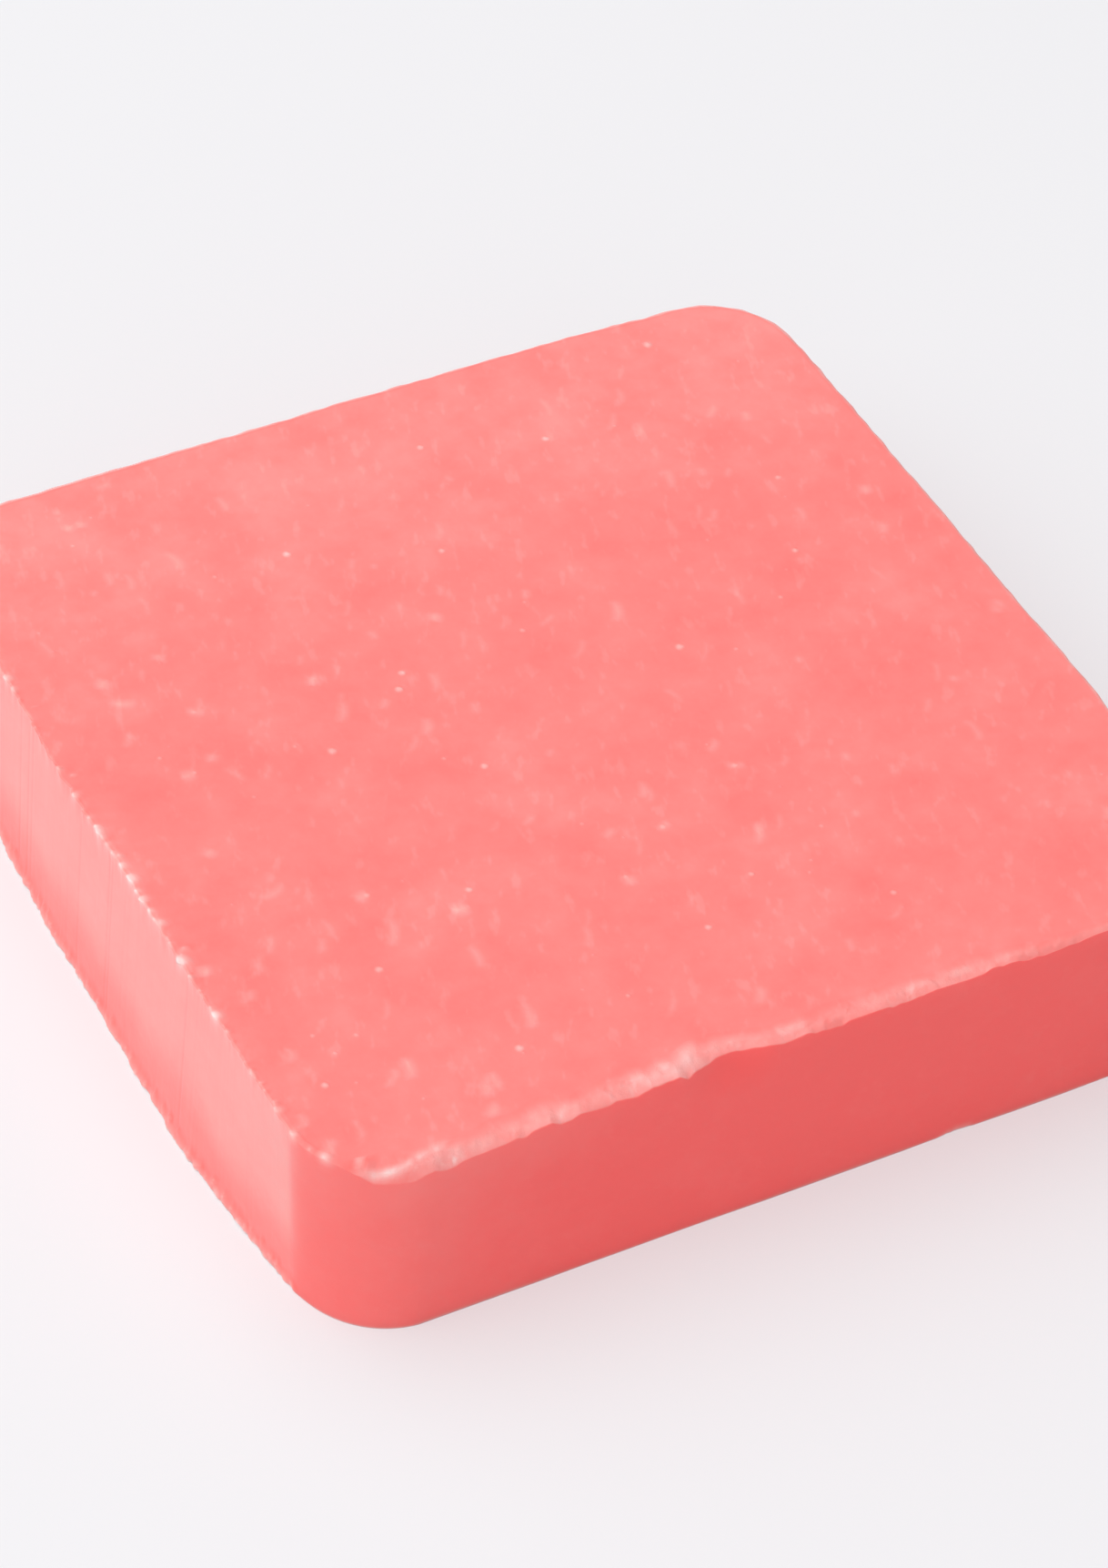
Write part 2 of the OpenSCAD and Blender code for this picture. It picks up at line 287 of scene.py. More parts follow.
def topRelief(spots):
    # height over the flat top, and how much paler a mark has left the soap
    marks = topMarks
    places = onFloor(spots)
    height = (grain(places, marks["sway"], 31) + grain(places, marks["swell"], 32)
              + grain(places, marks["dimple"], 33))
    pale = np.zeros(len(spots))
    for x, y, radius in bubbles:
        dx, dy = (spots[:, 0] - x) / radius, (spots[:, 1] - y) / radius
        fromBowl = np.hypot(dx - marks["bowlAt"][0], dy - marks["bowlAt"][1]) / marks["bowlRadius"]
        fromCrown = np.hypot(dx - marks["crownAt"][0], dy - marks["crownAt"][1]) / marks["crownRadius"]
        bowl = np.clip(1 - fromBowl ** 2, 0, 1) ** marks["bowlEase"]
        crown = np.exp(-fromCrown ** 4)
        height += radius * (marks["crownHeight"] * crown - marks["bowlDepth"] * bowl)
        pale = np.maximum(pale, min(1.0, radius / marks["paleRadius"]) ** marks["paleEase"] * crown)
    for x, y, direction, length, width in scrapes:
        turn = math.radians(direction)
        dx, dy = spots[:, 0] - x, spots[:, 1] - y
        along = (dx * math.cos(turn) + dy * math.sin(turn)) / (length / 2)
        across = (dy * math.cos(turn) - dx * math.sin(turn) - bendOf(length, along)) / width
        taper = np.sqrt(np.clip(1 - along ** 2, 0, 1))
        burr = marks["burrHeight"] * np.exp(-((across - marks["burrAt"]) / marks["burrHalf"]) ** 2)
        height += marks["scrapeDepth"] * taper * (burr - np.clip(1 - across ** 2, 0, 1))
        pale = np.maximum(pale, min(1.0, marks["paleWidth"] * width) * taper * np.exp(-across ** 2))
    return height, pale


def topTone(spots, pale):
    # paler towards the back as painted sheen, and paler where marks are
    back = smoothStep(*topMarks["paintedSheenBackFrom"], spots[:, 1])
    return tone["top"] + topMarks["paleMark"] * pale + topMarks["paintedSheenBack"] * back


# Skin round the sides: rings of stations from the base up and over the edge
rings, ringTones, ringCrumbly = [], [], []


def addRing(out, z, toneHere, crumblyHere):
    spots = stationSpots + outward * out[:, None]
    rings.append(np.column_stack([spots, np.broadcast_to(z, stationCount)]))
    ringTones.append(np.broadcast_to(toneHere, stationCount).copy())
    ringCrumbly.append(np.broadcast_to(crumblyHere, stationCount).copy())


# Walls, from the foot up to the lower border of the break
wallLook = {
    "waver": (0.12, 11.0),
    "lipMean": 0.75, "lipSway": (0.25, 1.5), "lipHeight": 1.8, "lipEase": 1.5, "footBreak": 0.05,
    # lines that the knife drew down the trimmed side
    "drag": (0.007, 0.9), "fineDrag": (0.0042, 0.3), "dragFrom": (0.2, 1.5),
    "scores": [15.7, 14.1, 13.3, 4.1, -0.9, -1.4, -14.5],  # y of single deeper ones
    "scoreHalf": 0.14, "scoreDepth": 0.024, "scoreShade": 0.06,
    # where the cut turns from the painted shade at its foot to its own pale tone, higher around one y
    "cutPaleFrom": (2.2, 8.0), "cutSway": (0.2, 9.0), "cutRise": 0.22, "cutRiseAt": -15.0, "cutRiseHalf": 5.0,
    # hollow in the front wall under the break
    "hollowAt": 23.1, "hollowHalf": 4.1, "hollowDepth": 0.8, "hollowDrop": 4.0, "hollowTop": 0.3,
    "hollowEase": 1.3, "hollowSway": (0.15, 2.5),
    # where the foot of the front chipped: x, half its length, depth, height
    "chipAt": 14.6, "chipHalf": 1.6, "chipDepth": 0.14, "chipHeight": 0.6,
    "chipMean": 0.7, "chipSway": (0.3, 0.5),
    "chipPale": 0.6, "chipPaleFrom": (0.9, 0.15), "chipPaleSteep": 6.0,
    # how uneven the walls' upper borders are, beside the knife and on the far sides
    "nibble": (0.1, 0.9), "fineNibble": (0.05, 0.45), "nibbleFrom": (15.2, 16.6),
    "farNibble": (0.05, 3.4), "farFineNibble": (0.035, 0.9), "farInset": 0.04,
    "footPale": 0.25, "footRough": 0.5, "footFrom": (1.1, 0.2),  # where the knife came out
    # painted light: a pale line along the foot where the bar stands, over the contact shade
    "paintedFootLight": 0.5, "paintedFootLightFrom": (0.3, 0.05),  # pale line where the bar stands on the floor
    # painted light: the front wall paler towards the front left corner, where it turns to the lamps
    "cornerFrom": (14.0, -8.0),  # along the front, up to the corner's tone
    # painted glow: the front wall paler high up beside the corner, under the rim
    "glow": 0.08, "paintedGlowAlong": (20.0, 12.0), "paintedGlowFrom": (9.0, 15.5),  # beside the corner, high up
    # heights of the rings, then shares of the way from the last one to the break
    "heights": [0.1, 0.25, 0.4, 0.65, 0.95, 1.35, 1.9, 2.6, 3.6, 4.8, 6.2, 7.6, 9.0, 10.4, 11.6, 12.6, 13.4],
    "shares": [0.3, 0.58, 0.8, 0.92, 0.97, 1.0],
}


def humpAt(values, middle, half):
    # 1 at the middle, down to 0 at either end
    return np.clip(1 - ((values - middle) / half) ** 2, 0, 1)


def shapeWalls():
    look = wallLook
    scored = knife * sum(np.exp(-((stationY - y) / look["scoreHalf"]) ** 2) for y in look["scores"])
    drag = grain(floorPlaces, look["drag"], 7) + grain(floorPlaces, look["fineDrag"], 8)
    hollow = humpAt(frontPlace, look["hollowAt"], look["hollowHalf"]) ** 2 * look["hollowDepth"]
    chip = humpAt(stationSpots[:, 0], look["chipAt"], look["chipHalf"]) * ((knife == 0) & (stationY < 0))
    cutRise = np.exp(-((stationY - look["cutRiseAt"]) / look["cutRiseHalf"]) ** 2)
    nibble = grain(floorPlaces, look["nibble"], 22) + grain(floorPlaces, look["fineNibble"], 24)
    farNibble = grain(floorPlaces, look["farNibble"], 25) + grain(floorPlaces, look["farFineNibble"], 26)
    return {
        "waver": grain(floorPlaces, look["waver"], 1),
        "lip": softKnife * barForm["lip"] * (look["lipMean"] + grain(floorPlaces, look["lipSway"], 6)),
        "scored": scored,
        "drag": knife * drag - look["scoreDepth"] * scored,
        "hollow": hollow * (1 + grain(floorPlaces, look["hollowSway"], 5)),
        "chip": chip * look["chipDepth"] * (look["chipMean"] + grain(floorPlaces, look["chipSway"], 13)),
        "cutFade": 1 + grain(floorPlaces, look["cutSway"], 14) + look["cutRise"] * cutRise,
        "nibble": softKnife * nibble + farShare * (farNibble - look["farInset"]),
        # masks for the painted light towards the front left corner and the painted glow beside it
        "corner": onFront * smoothStep(*look["cornerFrom"], frontPlace),
        "glow": onFront * smoothStep(*look["paintedGlowAlong"], frontPlace),
    }


wallShape = shapeWalls()


def wallOut(z):
    look, shape, height = wallLook, wallShape, barForm["height"]
    lip = shape["lip"] * smoothStep(look["lipHeight"], look["footBreak"], z) ** look["lipEase"]
    hollowShare = smoothStep(height - look["hollowDrop"], height - look["hollowTop"], z) ** look["hollowEase"]
    return (shape["waver"] - stationLean * z / height + lip + shape["drag"] * smoothStep(*look["dragFrom"], z)
            - shape["hollow"] * hollowShare - shape["chip"] * smoothStep(look["chipHeight"], 0.0, z)
            + shape["nibble"] * smoothStep(*look["nibbleFrom"], z))


def wallTone(z):
    look, shape = wallLook, wallShape
    low, high = look["cutPaleFrom"]
    cutShare = smoothStep(low * shape["cutFade"], high * shape["cutFade"], z)
    # deeper towards the cut's foot: painted shade, for the contact shade that the cut face reflects near the
    # floor
    cut = tone["cutFootShade"] + (tone["cut"] - tone["cutFootShade"]) * cutShare - look["scoreShade"] * shape["scored"]
    # the moulded walls' tone is painted shade; it turns paler towards the front left corner as painted light
    moulded = tone["wall"] + (tone["corner"] - tone["wall"]) * shape["corner"]
    # and a painted glow high up beside the corner
    moulded = moulded + look["glow"] * shape["glow"] * smoothStep(*look["paintedGlowFrom"], z)
    chipped = np.clip(shape["chip"] * look["chipPaleSteep"], 0, 1) * smoothStep(*look["chipPaleFrom"], z)
    # plus the painted light of the pale line along the foot
    return (moulded + (cut - moulded) * softKnife + look["chipPale"] * chipped
            + look["paintedFootLight"] * smoothStep(*look["paintedFootLightFrom"], z))


def raiseWalls(wallTop):
    look = wallLook
    lowest, highest = look["heights"][0], look["heights"][-1]
    addRing(wallOut(look["footBreak"]) - look["footBreak"], 0.0, wallTone(lowest) + look["footPale"] * knife,
            look["footRough"] * knife)
    for z in look["heights"]:
        foot = smoothStep(*look["footFrom"], z) * knife
        addRing(wallOut(z), z, wallTone(z) + look["footPale"] * foot, look["footRough"] * foot)
    for share in look["shares"]:
        z = highest + (wallTop - highest) * share
        addRing(wallOut(z), z, wallTone(z), 0.0)


# The broken band, from its stepped lower border in to the flat top, and the shoulder inside it
bandLook = {
    "dropSway": (0.15, 3.0), "farSway": (0.5, 1.6), "dropRange": (0.06, 2.1),
    "reachSway": (0.16, 2.6), "reachRange": (0.12, 2.6),
    # steps in the lower border where the reach is wide, and the share of the reach in which they even out
    "ragged": 0.5, "raggedMean": 0.35, "flakeSteps": (0.45, 2.2), "toothSteps": (0.18, 0.7),
    "grit": (0.15, 0.5), "raggedReach": (0.4, 1.2), "raggedRounds": 3, "raggedShare": 0.35, "raggedEase": 1.5,
    "rings": 12, "crowding": 1.3,  # closer together at the lower border
    "roundness": 2.0,
    # how pale the break is along the front; below 0, at the front left corner, it is deeper than the top as
    # painted shade that dulls the highlight on the arris
    "paleAt": [-11, -7, -6, -5, -3, -1, 3, 9, 14, 18, 21, 25, 30, 40, 60],
    "pale": [-0.3, -0.2, 0.2, 0.3, 0.25, 0.6, 0.65, 0.7, 0.65, 0.78, 0.75, 0.62, 0.5, 0.45, 0.36],
    # and along the trimmed side's edge, by y
    "trimAt": [-31, -24, -20, -18, -16, -14, 2, 7, 9, 16, 20, 30],
    "trimPale": [0.45, 0.25, 0.2, 0.6, 0.3, 1.0, 1.0, 0.6, 0.2, 0.15, 0.7, 0.3],
    "farPale": 0.6, "trimShare": 0.45,
    "patches": (0.2, 2.6), "finePatches": (0.25, 0.6), "patchRange": (0.4, 1.3),
    # how paleness goes in over the band, in shares of the reach
    "borderPale": 0.75, "borderShare": 0.25, "paleShare": 0.35,
    # lobe at the front corner where the band keeps the corner's tone at its foot
    "lobeAt": -4.0, "lobeHalf": 1.8, "lobeShade": 0.4, "lobeFade": 0.3,
    "bandRough": 1.3, "ridgeRough": 3.0, "cornerRough": 0.7, "cornerFrom": (-4.0, -6.0),
    # ridges and flakes left standing: along the edge, inward, half length, half width, slope, height, tone
    "ridges": [
        (-3.6, 0.5, 2.2, 0.28, 0.17, 0.12, 0.93), (-5.8, 0.6, 0.35, 0.5, 0.0, 0.02, 0.7),
        (-0.6, 1.0, 1.6, 0.35, 0.1, 0.05, 0.76), (1.3, 0.25, 0.25, 0.22, 0.0, 0.03, 0.85),
        (9.9, 0.6, 0.8, 0.5, 0.2, 0.05, 0.76), (16.0, 1.0, 0.9, 0.6, 0.0, 0.04, 0.78),
        (18.4, 1.1, 0.7, 0.6, 0.0, 0.04, 0.8), (20.3, 1.2, 1.1, 0.8, 0.1, 0.06, 0.82),
        (28.3, 0.8, 1.3, 0.45, 0.0, 0.03, 0.76), (38.6, 0.8, 1.2, 0.4, 0.0, 0.03, 0.72),
        (42.4, 0.7, 1.4, 0.4, 0.0, 0.03, 0.72)],
    "ridgeMean": 0.85, "ridgeSway": (0.35, 0.7), "ridgeEase": 0.8, "ridgePatches": 0.3,
    # shoulder: distances inward from the band, and the lumpy lip beside the knife
    "shoulder": [0.15, 0.35, 0.65, 1.1, 1.7, 2.4],
    "shoulderPale": 0.03, "shoulderReach": (0.3, 1.2),
    "lipHeight": 0.1, "lipPale": 0.18, "lipFade": 0.8,
    "lumpMean": 0.55, "lumps": (0.5, 1.3), "fineLumps": (0.35, 0.6), "lumpMost": 1.4,
}
trimPale = knife * np.interp(stationY, bandLook["trimAt"], bandLook["trimPale"])
ridgeUneven = np.clip(bandLook["ridgeMean"] + grain(floorPlaces, bandLook["ridgeSway"], 20), 0, 1)


def ridgesAt(inward):
    # height and tone of the ridges at each station, this far in from the wall
    height, ridgeTone = np.zeros(stationCount), np.zeros(stationCount)
    for at, middle, halfLength, halfWidth, slope, tall, toneThere in bandLook["ridges"]:
        along = frontPlace - at
        share = np.exp(-(along / halfLength) ** 4 - ((inward - middle - slope * along) / halfWidth) ** 2)
        share = share * ridgeUneven
        height += tall * share
        paler = (toneThere - tone["top"]) * share ** bandLook["ridgeEase"]
        ridgeTone = np.maximum(ridgeTone, tone["top"] + paler)
    return height, ridgeTone


def raggedBorder():
    # how far below the break's drop its lower border lies
    look = bandLook
    steps = (look["raggedMean"] + flakes(floorPlaces, look["flakeSteps"], 2)
             + flakes(floorPlaces, look["toothSteps"], 3) + grain(floorPlaces, look["grit"], 12))
    wide = smoothStep(*look["raggedReach"], stationReach)
    return smoothed(look["ragged"] * wide * np.clip(steps, 0, 1), look["raggedRounds"])


def breakBand(wallEdge, drop, reach, ragged):
    look = bandLook
    lobe = np.exp(-((frontPlace - look["lobeAt"]) / look["lobeHalf"]) ** 4)
    roughCorner = look["cornerRough"] * onFront * smoothStep(*look["cornerFrom"], frontPlace)
    frontPale = np.interp(frontPlace, look["paleAt"], look["pale"])
    paleness = np.where(onFront, frontPale, look["farPale"] * farShare + look["trimShare"] * trimPale)
    for step in range(1, look["rings"] + 1):
        t = (step / look["rings"]) ** look["crowding"]
        out = wallEdge - reach * t
        spots = stationSpots + outward * out[:, None]
        height, pale = topRelief(spots)
        low = max(0.0, 1 - t / look["raggedShare"]) ** look["raggedEase"]
        ridge, ridgeTone = ridgesAt(reach * t)
        places = onFloor(spots)
        patch = 1 + grain(places, look["patches"], 15) + grain(places, look["finePatches"], 16)
        patch = np.clip(patch, *look["patchRange"])
        atBorder = look["borderPale"] + (1 - look["borderPale"]) * smoothStep(0.0, look["borderShare"], t)
        fresh = paleness * patch * (1 - smoothStep(look["paleShare"], 1.0, t)) * atBorder
        deeper = lobe * (1 - smoothStep(0.0, look["lobeShade"], t))
        unbroken = tone["top"] - deeper * (tone["top"] - tone["corner"])
        clear = 1 - lobe * (1 - smoothStep(0.0, look["lobeFade"], t))
        bandTone = unbroken + (tone["broken"] - unbroken) * fresh * clear
        rough = look["bandRough"] * fresh + look["ridgeRough"] * (ridgeTone - tone["top"]) + roughCorner
        addRing(out, barForm["height"] + height - drop * (1 - t) ** look["roundness"] - ragged * low + ridge,
                np.maximum(bandTone, ridgeTone * patch ** look["ridgePatches"]), np.clip(rough, 0, 1))


def layShoulder(bandEnd):
    look = bandLook
    wide = smoothStep(*look["shoulderReach"], stationReach)
    for inward in look["shoulder"]:
        out = bandEnd - inward
        spots = stationSpots + outward * out[:, None]
        height, pale = topRelief(spots)
        places = onFloor(spots)
        lumpy = look["lumpMean"] + grain(places, look["lumps"], 19) + grain(places, look["fineLumps"], 23)
        raised = trimPale * math.exp(-inward / look["lipFade"]) * np.clip(lumpy, 0, look["lumpMost"])
        paler = look["shoulderPale"] * wide * math.exp(-inward) + look["lipPale"] * raised
        addRing(out, barForm["height"] + height + look["lipHeight"] * raised, topTone(spots, pale) + paler,
                np.maximum(topMarks["rough"] * pale, raised))


def skinSides():
    look = bandLook
    sway = grain(floorPlaces, look["dropSway"], 18) + farShare * grain(floorPlaces, look["farSway"], 27)
    drop = np.clip(stationDrop * (1 + sway), *look["dropRange"])
    reach = np.clip(stationReach * (1 + grain(floorPlaces, look["reachSway"], 4)), *look["reachRange"])
    ragged = raggedBorder()
    wallTop = barForm["height"] - drop - ragged
    raiseWalls(wallTop)
    wallEdge = wallOut(wallTop)
    breakBand(wallEdge, drop, reach, ragged)
    layShoulder(wallEdge - reach)


skinSides()
rings, ringTones, ringCrumbly = np.array(rings), np.array(ringTones), np.array(ringCrumbly)
wallRings = 1 + len(wallLook["heights"]) + len(wallLook["shares"])
print("side rings:", len(rings))

# Flakes and crumbs on the broken band, and a crumbly foot where the knife came out
crumbLook = {
    "flakes": (0.03, 1.76), "crumbs": (0.04, 0.5), "grit": (0.03, 0.35),
    "reach": (0.2, 1.0), "farShare": 0.4, "outward": 0.5, "upward": 0.85,
    "fadeShift": 0.08, "fadeEase": 0.7,  # towards either side of the band
    "footRings": 8, "footLumps": (1.0, 0.9), "fineFootLumps": (0.6, 0.4),
    "footDepth": 0.13, "footInset": 0.7, "footPale": 0.08,
}


def roughenBreak():
    look = crumbLook
    out = onFloor(outward)
    size = smoothStep(*look["reach"], stationReach) * np.where(onFront, 1.0, look["farShare"])
    for ring in range(wallRings, wallRings + bandLook["rings"]):
        t = (ring - wallRings + 1) / bandLook["rings"]
        fade = np.sin(np.pi * min(1.0, t + look["fadeShift"])) ** look["fadeEase"] * size
        relief = (flakes(rings[ring], look["flakes"], 1) + crumbs(rings[ring], look["crumbs"], 1)
                  + grain(rings[ring], look["grit"], 9))
        rings[ring] += (out * look["outward"] + (0, 0, look["upward"])) * (fade * relief)[:, None]
    for ring in range(look["footRings"]):
        lumps = grain(rings[ring], look["footLumps"], 2) + grain(rings[ring], look["fineFootLumps"], 3)
        lumps = np.clip(lumps, -1, 1)
        strength = knife * (1 - ring / look["footRings"])
        rings[ring] += out * (look["footDepth"] * strength * (lumps - look["footInset"]))[:, None]
        ringTones[ring] += look["footPale"] * strength * lumps


# Crumbs left standing on the edges. Each named one is x, y, radius, how white
edgeBeads = {
    "upper": [
        (-36.3, 18.7, 0.46, 0.6), (-36.4, 17.5, 0.36, 0.5), (-37.0, 8.3, 0.34, 0.5), (-36.7, 5.3, 0.42, 0.6),
        (-36.7, 1.2, 0.5, 0.7), (-36.8, -1.2, 0.36, 0.5), (-36.9, -4.2, 0.52, 0.7), (-37.1, -6.5, 0.42, 0.6),
        (-37.1, -8.5, 0.3, 0.4), (-37.3, -11.2, 0.32, 0.4), (-37, -13.1, 0.6, 0.8), (-37.2, -14.9, 0.32, 0.4),
        (-37.1, -18.9, 0.52, 0.75), (-37.4, -20.6, 0.28, 0.3), (-37.1, -25, 0.32, 0.45),
        (-37.1, -28.8, 0.34, 0.45), (-37, -31.3, 0.42, 0.65), (-36.4, -33.0, 0.25, 0.2),
        (-36.1, -34.2, 0.48, 0.62)],
    "upperSize": 1.4, "upperWhite": 1.2,  # times the radius and the white above
    "foot": [
        (-37.0, -2, 0.4, 0.25), (-38, -6.5, 0.3, 0.2), (-38, -12.2, 0.3, 0.2), (-38, -17.8, 0.35, 0.25),
        (-38, -20.8, 0.45, 0.3), (-38, -24.2, 0.3, 0.2), (-36.5, -31, 0.4, 0.25), (-37.4, 11, 0.3, 0.2)],
    "upperRing": 3, "footRing": 3,  # rings in from the wall, and up from the base
    # smaller ones between them, down the trimmed side
    "seed": 4, "firstY": 27.0, "lastY": -30.0, "spacing": (0.6, 1.6), "size": (0.3, 0.6),
    "leastSize": 0.4,  # share of it where the edge is least pale
    "white": 0.8, "whiteShare": (0.3, 1.0), "pastBand": 3,
    "footRings": (2, 6), "footSize": 0.8, "footWhite": 0.12,
    "tall": 0.75, "outward": 0.4, "upward": 0.85,
    "steepness": 2.0, "softness": 0.8, "leastShare": 0.02,  # a crumb ends where it has sunk to this share
}


def scatterBeads():
    # x, y, radius, ring, how white
    look = edgeBeads
    chance = np.random.default_rng(look["seed"])
    beads = [(x, y, look["upperSize"] * radius, wallRings + look["upperRing"], look["upperWhite"] * white)
             for x, y, radius, white in look["upper"]]
    beads += [(x, y, radius, look["footRing"], white) for x, y, radius, white in look["foot"]]
    cutStations = np.flatnonzero(knife > 0.5)
    y = look["firstY"]
    while y > look["lastY"]:
        spot = stationSpots[cutStations[np.argmin(np.abs(stationY[cutStations] - y))]]
        strength = np.interp(y, bandLook["trimAt"], bandLook["trimPale"])
        size = chance.uniform(*look["size"])
        radius = size * (look["leastSize"] + (1 - look["leastSize"]) * strength)
        ring = wallRings + int(chance.integers(0, bandLook["rings"] + look["pastBand"]))
        beads.append((*spot, radius, ring, look["white"] * strength * chance.uniform(*look["whiteShare"])))
        footRing = int(chance.integers(*look["footRings"]))
        beads.append((*spot, look["footSize"] * size, footRing, look["footWhite"]))
        y -= chance.uniform(*look["spacing"])
    return beads


def raiseBeads():
    look = edgeBeads
    for x, y, radius, ring, white in scatterBeads():
        station = np.argmin(np.hypot(stationSpots[:, 0] - x, stationSpots[:, 1] - y))
        out = np.array((*outward[station], 0.0))
        offset = (rings - rings[ring, station]) / radius
        share = np.exp(-look["steepness"] * np.sum(offset ** 2, axis=2))
        near = share > look["leastShare"]
        lift = (share[near] * radius * look["tall"])[:, None]
        rings[near] += lift * (out * look["outward"] + (0, 0, look["upward"]))
        under = ringTones[near]
        whiter = white * share[near] ** look["softness"]
        ringTones[near] = under + np.maximum(tone["bead"] - under, 0) * whiter
        ringCrumbly[near] = np.maximum(ringCrumbly[near], share[near])


roughenBreak()
raiseBeads()

# The skin stays this far inside the solid's box
boxGap, topGap = 0.01, 0.02
highest = solidBounds[1][2] / millimetre - topGap
lowest = [edge / millimetre + boxGap for edge in solidBounds[0][:2]] + [0.0]
furthest = [edge / millimetre - boxGap for edge in solidBounds[1][:2]] + [highest]
rings[:, :, 2] = np.clip(rings[:, :, 2], 0.0, highest)

# Spots of the skin inside its last rings, on the flat top and under the base
fillPlan = {
    "pitch": 0.62, "jitter": 0.18, "borderGap": 0.35, "mergeWithin": 0.07,
    # rounds of spots about a bubble: share of its radius, count; no plain spot lies within the clear share
    "bubbleRounds": [(0.0, 1), (0.45, 7), (0.8, 11), (1.0, 14), (1.25, 14), (1.7, 12)], "bubbleClear": 2.1,
    "scrapePitch": 0.35, "scrapeRows": (-1.6, -0.8, 0.0, 0.8, 1.6),
    "basePitch": 4, "baseShare": 0.95,
}


def insideOf(border, spots):
    inside = np.zeros(len(spots), bool)
    for (x0, y0), (x1, y1) in zip(border, np.roll(border, -1, axis=0)):
        if y0 != y1:
            crosses = (spots[:, 1] > min(y0, y1)) & (spots[:, 1] <= max(y0, y1))
            at = x0 + (spots[:, 1] - y0) * (x1 - x0) / (y1 - y0)
            inside ^= crosses & (spots[:, 0] < at)
    return inside


def bubbleSpots(x, y, radius):
    spots = []
    for share, count in fillPlan["bubbleRounds"]:
        for i in range(count):
            angle = 2 * math.pi * (i + 0.5 * (share > 0.9)) / count
            spots.append((x + radius * share * math.cos(angle), y + radius * share * math.sin(angle)))
    return spots


def scrapeSpots(x, y, direction, length, width):
    spots = []
    cosTurn, sinTurn = math.cos(math.radians(direction)), math.sin(math.radians(direction))
    for along in np.linspace(-1, 1, max(4, int(length / fillPlan["scrapePitch"]))):
        for across in fillPlan["scrapeRows"]:
            u, v = along * length / 2, across * width + bendOf(length, along)
            spots.append((x + u * cosTurn - v * sinTurn, y + u * sinTurn + v * cosTurn))
    return spots


def topSpots(border):
    chance = np.random.default_rng(topMarks["seed"] + 1)
    half = barForm["width"] / 2
    steps = np.arange(-half, half, fillPlan["pitch"])
    grid = np.array([(x, y) for x in steps for y in steps])
    grid += chance.uniform(-fillPlan["jitter"], fillPlan["jitter"], grid.shape) * fillPlan["pitch"]
    clear = np.ones(len(grid), bool)
    fine = []
    for x, y, radius in bubbles:
        fine += bubbleSpots(x, y, radius)
        clear &= np.hypot(grid[:, 0] - x, grid[:, 1] - y) > fillPlan["bubbleClear"] * radius
    for scrape in scrapes:
        fine += scrapeSpots(*scrape)
    spots = np.vstack([grid[clear], np.array(fine)])
    spots = spots[insideOf(border, spots)]
    keep = np.unique(np.round(spots / fillPlan["mergeWithin"]), axis=0, return_index=True)[1]
    spots = spots[np.sort(keep)]
    shrunk = border * (1 - fillPlan["borderGap"] / np.linalg.norm(border, axis=1))[:, None]
    return spots[insideOf(shrunk, spots)]


def baseSpots(border):
    pitch = fillPlan["basePitch"]
    half = int(barForm["width"] / 2) - pitch
    steps = range(-half, half + 1, pitch)
    grid = np.array([(x, y) for x in steps for y in steps], float)
    return grid[insideOf(border * fillPlan["baseShare"], grid)]


def fillInside(border, spots):
    # triangles over a closed border and the spots inside it, as rows of border then spot numbers
    places = [Vector(spot) for spot in np.vstack([border, spots])]
    insideOnly, closeness = 1, 1e-5  # spots this close together count as one
    found = geometry.delaunay_2d_cdt(places, [], [list(range(len(border)))], insideOnly, closeness)
    foundFaces, givenSpots = found[2], found[3]
    first = [group[0] if group else -1 for group in givenSpots]
    triangles = [[first[corner] for corner in face] for face in foundFaces]
    return [t for t in triangles if min(t) >= 0 and len(set(t)) == 3]


def soapMesh():
    count = stationCount
    faces = []
    for ring in range(len(rings) - 1):
        low = ring * count
        for i in range(count):
            j = (i + 1) % count
            faces.append((low + i, low + j, low + count + j, low + count + i))
    lastRing = (len(rings) - 1) * count
    total = len(rings) * count

    topBorder = rings[-1, :, :2]
    top = topSpots(topBorder)
    height, pale = topRelief(top)
    for triangle in fillInside(topBorder, top):
        faces.append(tuple(lastRing + v if v < count else total + v - count for v in triangle))
    total += len(top)

    baseBorder = rings[0, :, :2]
    base = baseSpots(baseBorder)
    for a, b, c in fillInside(baseBorder, base):
        faces.append(tuple(v if v < count else total + v - count for v in (a, c, b)))

    vertices = np.vstack([
        rings.reshape(-1, 3), np.column_stack([top, barForm["height"] + height]), onFloor(base)])
    tones = np.concatenate([ringTones.reshape(-1), topTone(top, pale), np.full(len(base), tone["wall"])])
    crumbly = np.concatenate([ringCrumbly.reshape(-1), topMarks["rough"] * pale, np.zeros(len(base))])
    return np.clip(vertices, lowest, furthest), faces, tones, crumbly


def addSoap():
    vertices, faces, tones, crumbly = soapMesh()
    wallCount = wallRings * stationCount
    knifeCut, openFace = np.zeros(len(vertices)), np.zeros(len(vertices))
    knifeCut[:wallCount] = np.tile(knife, wallRings)
    openFace[wallCount:] = vertices[wallCount:, 2] > 1  # all but the base
    mesh = bpy.data.meshes.new("soap")
    mesh.from_pydata((vertices * millimetre).tolist(), [], faces)
    layers = {"tone": tones, "crumbly": crumbly, "knifeCut": knifeCut, "openFace": openFace}
    for name, values in layers.items():
        layer = mesh.attributes.new(name, "FLOAT", "POINT")
        layer.data.foreach_set("value", values.astype(np.float32))
    mesh.update()
    mesh.shade_smooth()
    mesh.set_sharp_from_angle(angle=math.radians(45))
    soap = bpy.data.objects.new("soap", mesh)
    bpy.context.scene.collection.objects.link(soap)
    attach(soap, "root")
    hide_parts("soap_bar")
    print("soap mesh:", len(mesh.vertices), "vertices,", sum(len(face) - 2 for face in faces), "triangles")
    return mesh


mesh = addSoap()

